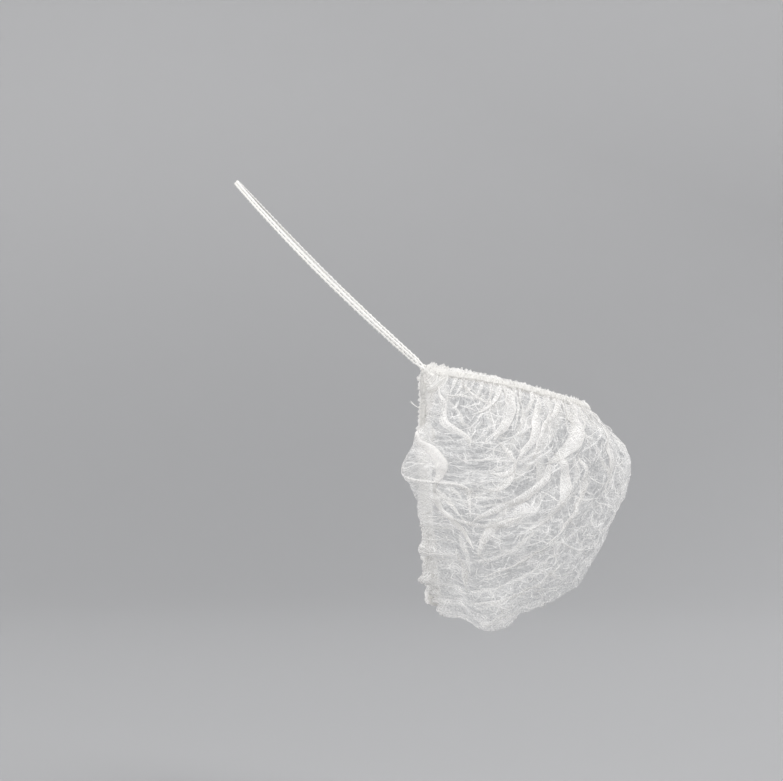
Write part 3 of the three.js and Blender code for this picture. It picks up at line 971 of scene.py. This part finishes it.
def make_tack(name, node, side, seed, materials):
    """The bunched corner: folds of both hems that run together, bound by thread."""
    parts = Parts()
    angle = (np.arange(TACK_SIDES) / TACK_SIDES * TURN)[None, :]
    radius = np.linspace(TACK_START, TACK_END, TACK_ROWS + 1)[:, None]
    turn, face = tack_section(angle)
    across = side * across_at_radius(radius)
    ridge = 1 - 2 * np.abs(noise(angle * 9 + 0.12 * radius, radius / 9, seed))
    fine = noise(angle * 20, radius / 2.5, seed + 1)
    grow = 0.65 + 0.35 * smooth((radius - TACK_TIP) / 5)
    grow = grow * (1 - 0.75 * smooth((radius - TACK_LENGTH) / 2.5))
    half = TACK_THICKNESS / 2 * grow * (0.9 + 0.3 * ridge + 0.12 * fine)
    surface = net_point(across, np.clip(0.5 + (turn - 0.5) * (1.02 + 0.05 * ridge), 0, 1))
    points = surface + (half * face)[..., None] * net_normal(across, turn)
    near_hem = smooth((np.abs(2 * turn - 1) - 0.45) / 0.4)
    near_tip = 1 - smooth((radius - 4) / 4)
    bunch = 0.25 + 0.65 * np.maximum(near_hem, near_tip) + 0.15 * ridge
    parts.add(points, (radius, angle * 2), bunch, closed=True)
    for hem in (AT_TOP, AT_REAR):
        ends = (side * across_at_radius(TACK_TIP - 0.5), side * across_at_radius(TACK_LENGTH - 1))
        add_frill(parts, hem_frame(hem, 0.3, *ends), seed + 7 + hem, 1.3)
    middle = net_point(side * across_at_radius(TACK_START), 0.5)
    tip = np.stack([middle + 0.1 * (points[0] - middle), points[0]])
    parts.add(tip, (radius[:2], angle * 2), 0.9, closed=True)
    add_wraps(parts, side)
    random = np.random.default_rng(seed + 5)
    root = net_point(side * across_at_radius(TACK_TIP), 0.5)
    for _ in range(5):
        way = random.normal(0, 1, 3) * (0.7, 1.0, 1.0) + (0, 0.8, 0.3)
        add_loose_thread(parts, root, root + 3.2 * unit(way), random.normal(0, 0.5, 3),
                         int(random.integers(1, 900)), radius=0.07, strands=1)
    return parts.piece(name, materials, node)


# Head loop

CHORD = math.hypot(CORNER_REACH, CORNER_DROP)
CHORD_FORWARD = CORNER_REACH / CHORD
CHORD_DOWN = CORNER_DROP / CHORD
LOOP_RADIUS = LOOP_WIDEST_SHARE * CHORD
LOOP_END_ANGLE = math.acos(1 - (CHORD - SPLIT_LENGTH) / LOOP_RADIUS)
CORNER_ANGLE = math.acos(1 - CHORD / LOOP_RADIUS)
LOOP_HALF_WIDTH = CORNER_HALF / math.sin(CORNER_ANGLE)
BROAD = np.array([0, CHORD_DOWN, -CHORD_FORWARD])

# Knitted tape: two bumpy strands side by side, each with a stitch every pitch
STRAND_APART = 0.63
STRAND_RADIUS = 0.58
STITCH_PITCH = 1.7
STITCH_BUMP = 0.15
STITCH_SWING = 0.1
STRAND_SIDES = 12


def loop_point(angle):
    run = LOOP_RADIUS * (1 - np.cos(angle))
    bow = LOOP_BOW * np.sin(math.pi * run / CHORD)
    return np.stack([
        LOOP_HALF_WIDTH * np.sin(angle),
        LOOP_THICKNESS / 2 - (run * CHORD_FORWARD - bow * CHORD_DOWN),
        -(run * CHORD_DOWN + bow * CHORD_FORWARD),
    ], axis=-1)


def strand_path(spread):
    """Centre line of one strand, from inside the right corner round the head to the left."""
    angle = np.linspace(-LOOP_END_ANGLE, LOOP_END_ANGLE, 500)
    middle = loop_point(angle) + spread * STRAND_APART * BROAD
    tip_turn = 0.5 - 0.5 * spread * (LEG_SPREAD / TACK_TIP)
    ends = []
    for side in (-1, 1):
        radius = np.array([TACK_TIP + 1.5, TACK_TIP, TACK_TIP - PIECE_GAP])
        ends.append(net_point(side * across_at_radius(radius), tip_turn))
    path = np.concatenate([ends[0], middle, ends[1][::-1]])
    return soften(resample(path, 0.28), 8)


def make_loop(name, node, materials):
    parts = Parts()
    for spread in (-1, 1):
        path = strand_path(spread)
        way = unit(np.gradient(path, axis=0))
        thin = unit(np.cross(way, BROAD))
        broad = np.cross(thin, way)
        along = arc_lengths(path)
        wander = 0.3 * noise(along / 5, 1 + spread, 71)
        uneven = 1 + 0.08 * noise(along / 2.2, 5 + spread, 72)
        stitch = TURN * (along / STITCH_PITCH + wander + 0.25 * spread)
        swing = STITCH_SWING * (np.cos(stitch / 2)[:, None] * broad + np.sin(stitch / 2)[:, None] * thin)
        radius = STRAND_RADIUS * uneven * (1 + STITCH_BUMP * np.cos(stitch))
        rings = tube(path + swing, radius, STRAND_SIDES, broad)
        around = 9 * spread + np.linspace(0, 3.6, STRAND_SIDES)
        parts.add(rings, (along[:, None], around[None, :]), 1, closed=True)
    return parts.piece(name, materials, node)


# Materials

class Shader:
    """A new material with short ways to add and join nodes."""

    def __init__(self, name):
        self.material = bpy.data.materials.new(name)
        self.material.use_nodes = True
        self.tree = self.material.node_tree
        self.tree.nodes.clear()
        self.output = self.tree.nodes.new("ShaderNodeOutputMaterial")

    def finished(self, surface):
        self.tree.links.new(surface, self.output.inputs["Surface"])
        return self.material

    def node(self, kind, inputs=None, output=0, **settings):
        """Adds a node and gives one of its outputs, the first unless told otherwise."""
        made = self.tree.nodes.new("ShaderNode" + kind)
        for key, value in settings.items():
            setattr(made, key, value)
        for key, value in (inputs or {}).items():
            if isinstance(value, bpy.types.NodeSocket):
                self.tree.links.new(value, made.inputs[key])
            else:
                made.inputs[key].default_value = value
        return made.outputs[output]

    def attribute(self, name, output):
        return self.node("Attribute", output=output, attribute_name=name)

    def mix(self, share, first, second):
        inputs = {"Fac": share, "Color1": (*first, 1), "Color2": (*second, 1)}
        return self.node("MixRGB", inputs)

    def math(self, operation, first, second=0.0, clamp=False):
        return self.node("Math", {0: first, 1: second}, operation=operation, use_clamp=clamp)

    def ramp(self, value, from_low, from_high, to_low, to_high, smoothed=False):
        inputs = {0: value, 1: from_low, 2: from_high, 3: to_low, 4: to_high}
        return self.node("MapRange", inputs, interpolation_type="SMOOTHSTEP" if smoothed else "LINEAR")

    def noise(self, vector, scale, detail=0.0):
        inputs = {"Vector": vector, "Scale": scale, "Detail": detail}
        return self.node("TexNoise", inputs, noise_dimensions="2D")


# Fibres of the net: direction in degrees, length and spacing of their waves in millimetres
FIBRE_ROWS = [
    (8, 7, 2.3),
    (47, 6, 2.6),
    (88, 7.5, 2.2),
    (128, 5.5, 2.7),
    (158, 6.5, 2.4),
]
FIBRE_CORE = 0.008
FIBRE_EDGE = 0.027

# How fine the filaments of the yarns are, along and round them
FILAMENT_SCALE = (3, 15, 1)

# Fine crumple lines: spacing and width in millimetres
CREASE_ROWS = [
    (15, 0.5),
    (6.5, 0.32),
]


def fibre_web(shader, cloth):
    """Thin crossing lines: places where one of several stretched noises is near its middle."""
    web = None
    for angle, length, spacing in FIBRE_ROWS:
        turned = shader.node("Mapping", {
            "Vector": cloth,
            "Location": (angle * 3.1, angle * 1.7, 0),
            "Rotation": (0, 0, math.radians(angle)),
            "Scale": (length, spacing, 1),
        }, vector_type="TEXTURE")
        value = shader.noise(turned, 1.0)
        away = shader.math("ABSOLUTE", shader.math("SUBTRACT", value, 0.5))
        line = shader.ramp(away, FIBRE_CORE, FIBRE_EDGE, 1, 0, smoothed=True)
        web = line if web is None else shader.math("MAXIMUM", web, line)
    return web


def crumple_lines(shader, cloth):
    """Sharp straight creases that come and go, from 0 to 1."""
    warp = shader.node("TexNoise", {"Vector": cloth, "Scale": 0.12, "Detail": 1.0}, output=1)
    shift = shader.node("VectorMath", {0: warp, "Scale": 5.0}, operation="SCALE")
    moved = shader.node("VectorMath", {0: cloth, 1: shift}, operation="ADD")
    stretched = shader.node("Mapping", {"Vector": moved, "Scale": (1, 0.85, 0)})
    lines = None
    for spacing, width in CREASE_ROWS:
        edge = shader.node("TexVoronoi", {"Vector": stretched, "Scale": 1 / spacing}, "Distance",
                           voronoi_dimensions="2D", feature="DISTANCE_TO_EDGE")
        line = shader.ramp(edge, 0.2 * width / spacing, width / spacing, 1, 0, smoothed=True)
        gate = shader.ramp(shader.noise(cloth, 1.1 / spacing), 0.46, 0.6, 0, 1, smoothed=True)
        line = shader.math("MULTIPLY", line, gate)
        lines = line if lines is None else shader.math("MAXIMUM", lines, line)
    return lines


def net_material(name, least, most, fibre_share, crease_share, tint):
    """Thin white nonwoven with painted shade, greyer where it lies single. least and most are
    the cover of one layer between its fibres where it lies single and where it is bunched."""
    shader = Shader(name)
    cloth = shader.attribute("cloth", "Vector")
    bunch = shader.attribute("bunch", "Fac")
    web = fibre_web(shader, cloth)
    clouds = shader.noise(cloth, 0.16, 2.0)
    veil = shader.ramp(bunch, 0, 1, least, most)
    cloudy = shader.math("MULTIPLY", shader.math("SUBTRACT", clouds, 0.5), 0.25)
    cover = shader.math("ADD", veil, cloudy)
    cover = shader.math("MAXIMUM", cover, least)
    creases = shader.math("MULTIPLY", crumple_lines(shader, cloth), crease_share)
    dense = shader.math("ADD", cover, creases, clamp=True)
    cover = shader.math("ADD", dense, shader.math("MULTIPLY", web, fibre_share), clamp=True)
    # Painted shade: the colour is painted greyer where the net lies single and whiter where it is dense,
    # bunched or creased, standing in for light passing through thin cloth.
    thin_painted_shade_tint = np.multiply(tint, (0.82, 0.83, 0.84))
    colour = shader.mix(shader.ramp(dense, 0.05, 0.6, 0, 1), thin_painted_shade_tint, tint)
    roughness = shader.ramp(web, 0, 1, 0.82, 0.55)
    bump = shader.node("Bump", {
        "Strength": 0.35,
        "Distance": 0.0003,
        "Height": shader.noise(cloth, 1.6, 1.0),
    })
    surface = shader.node("BsdfPrincipled", {
        "Base Color": colour,
        "Roughness": roughness,
        "Specular IOR Level": 0.35,
        "Sheen Weight": 0.25,
        "Normal": bump,
    })
    glow = shader.node("BsdfTranslucent", {"Color": colour})
    cloth_light = shader.node("MixShader", {0: 0.4, 1: surface, 2: glow})
    clear = shader.node("BsdfTransparent")
    return shader.finished(shader.node("MixShader", {0: cover, 1: clear, 2: cloth_light}))


def yarn_material(name, colour, roughness):
    """Spun or textured yarn: fine lengthwise filaments with painted shade in the grooves between them,
    and faint colour change.
    """
    shader = Shader(name)
    cloth = shader.attribute("cloth", "Vector")
    stretched = shader.node("Mapping", {"Vector": cloth, "Scale": FILAMENT_SCALE})
    filaments = shader.noise(stretched, 1.0, 2.0)
    patches = shader.noise(cloth, 0.12, 1.0)
    # Painted shade: the colour is darker where the filament bump is low, in the grooves between
    # filaments.
    groove_painted_shade = np.multiply(colour, (0.93, 0.93, 0.92))
    shade = shader.mix(shader.ramp(filaments, 0.3, 0.7, 0, 1), groove_painted_shade, colour)
    warm = np.multiply(colour, (1, 0.985, 0.95))
    tinted = shader.node("MixRGB", {
        "Fac": shader.ramp(patches, 0.35, 0.7, 0, 0.5),
        "Color1": shade,
        "Color2": (*warm, 1),
    })
    bump = shader.node("Bump", {"Strength": 0.5, "Distance": 0.0001, "Height": filaments})
    return shader.finished(shader.node("BsdfPrincipled", {
        "Base Color": tinted,
        "Roughness": shader.ramp(filaments, 0.3, 0.7, roughness + 0.1, roughness - 0.1),
        "Specular IOR Level": 0.4,
        "Sheen Weight": 0.3,
        "Normal": bump,
    }))


# Stage and lights

STAGE_RADIUS = 2.6
STAGE_CURVE = 1.1
STAGE_HEIGHT = 3.2
STAGE_SIDES = 96
CURVE_STEPS = 12
FLOOR_LEVEL = -0.36
# Painted shade: the paper is painted darker on the floor and lightens to the wall's colour over this
# rise, to even out the light falling on it.
FLOOR_SHADE_RISE = 0.8
SHADED_FLOOR_TINT = (0.36, 0.362, 0.37)
WALL_TINT = (0.56, 0.562, 0.57)


def make_stage():
    """A round pale floor that curves up into a wall without a corner, painted darker on the floor than
    up the wall as painted shade that evens out the stronger light on the floor.
    """
    bend = np.linspace(0, math.pi / 2, CURVE_STEPS + 1)
    curve_out = STAGE_RADIUS - STAGE_CURVE + STAGE_CURVE * np.sin(bend)
    out = np.concatenate([[0], curve_out, [STAGE_RADIUS]])[:, None]
    up = np.concatenate([[0], STAGE_CURVE * (1 - np.cos(bend)), [STAGE_HEIGHT]])[:, None]
    angle = np.linspace(0, TURN, STAGE_SIDES + 1)[:-1]
    level = up + FLOOR_LEVEL + np.zeros_like(angle)
    points = np.stack([out * np.cos(angle), out * np.sin(angle), level], axis=-1) / MM
    parts = Parts()
    parts.add(points, (0, 0), 0, closed=True)
    shader = Shader("pale_paper")
    position = shader.node("NewGeometry", output="Position")
    height = shader.node("SeparateXYZ", {0: position}, output="Z")
    # Painted shade on the floor, fading into the wall's colour as the paper rises.
    rise = shader.ramp(height, FLOOR_LEVEL, FLOOR_LEVEL + FLOOR_SHADE_RISE, 0, 1, smoothed=True)
    colour = shader.mix(rise, SHADED_FLOOR_TINT, WALL_TINT)
    paper = shader.node("BsdfPrincipled", {"Base Color": colour, "Roughness": 0.9})
    floor = parts.mesh("pale_floor", [shader.finished(paper)])


# Area lights: place, size in metres, power in watts
LIGHT_ROWS = [
    ("key_light", (-1.3, -1.5, 1.3), 0.9, 34),
    ("fill_light", (-1.5, 1.5, 0.5), 1.4, 24),
    ("top_light", (0.2, 0.0, 1.9), 1.8, 14),
    ("rim_light", (1.5, -1.2, 0.7), 1.2, 11),
    ("back_light", (1.5, 1.3, 0.9), 1.4, 9),
]
LIGHT_TARGET = Vector((0, -0.12, -0.14))
AMBIENT = 0.42
AMBIENT_COLOUR = (1, 0.99, 0.98, 1)


def make_lights():
    for name, place, size, power in LIGHT_ROWS:
        light = bpy.data.lights.new(name, "AREA")
        light.shape = "DISK"
        light.size = size
        light.energy = power
        place_in_scene(name, light, place, LIGHT_TARGET - Vector(place))
    world = bpy.data.worlds.new("studio")
    world.use_nodes = True
    background = world.node_tree.nodes["Background"]
    background.inputs["Color"].default_value = AMBIENT_COLOUR
    background.inputs["Strength"].default_value = AMBIENT
    bpy.context.scene.world = world


make_camera()

net_finish = net_material("net_nonwoven", least=0.01, most=0.95, fibre_share=0.54, crease_share=0.6,
                          tint=(0.965, 0.955, 0.94))
hem_finish = net_material("hem_nonwoven", least=0.35, most=0.98, fibre_share=0.4, crease_share=0,
                          tint=(0.94, 0.93, 0.91))
thread_finish = yarn_material("sewing_thread", (0.92, 0.91, 0.89), roughness=0.5)
elastic_finish = yarn_material("elastic_yarn", (0.9, 0.89, 0.87), roughness=0.6)

bag_parts = Parts()
add_net(bag_parts)
for side_row in ((-1, 101), (1, 102)):
    add_side_pleats(bag_parts, *side_row)
for hem_row in HEM_PLEAT_ROWS:
    add_hem_pleats(bag_parts, *hem_row)
add_creases(bag_parts, CREASE_COUNT, CREASE_SEED)
bag = bag_parts.piece("net_bag_cloth", [net_finish], "net_bag")

hem_materials = [hem_finish, thread_finish]
top_hem = make_hem("top_hem_overlock", "top_hem", AT_TOP, 201, hem_materials)
rear_hem = make_hem("rear_hem_overlock", "rear_hem", AT_REAR, 301, hem_materials)
right_tack = make_tack("right_corner_gather", "right_corner_tack", -1, 401, hem_materials)
left_tack = make_tack("left_corner_gather", "left_corner_tack", 1, 501, hem_materials)
make_loop("head_loop_knit", "head_loop", [elastic_finish])

make_stage()
make_lights()
bpy.context.scene.view_settings.view_transform = "Standard"
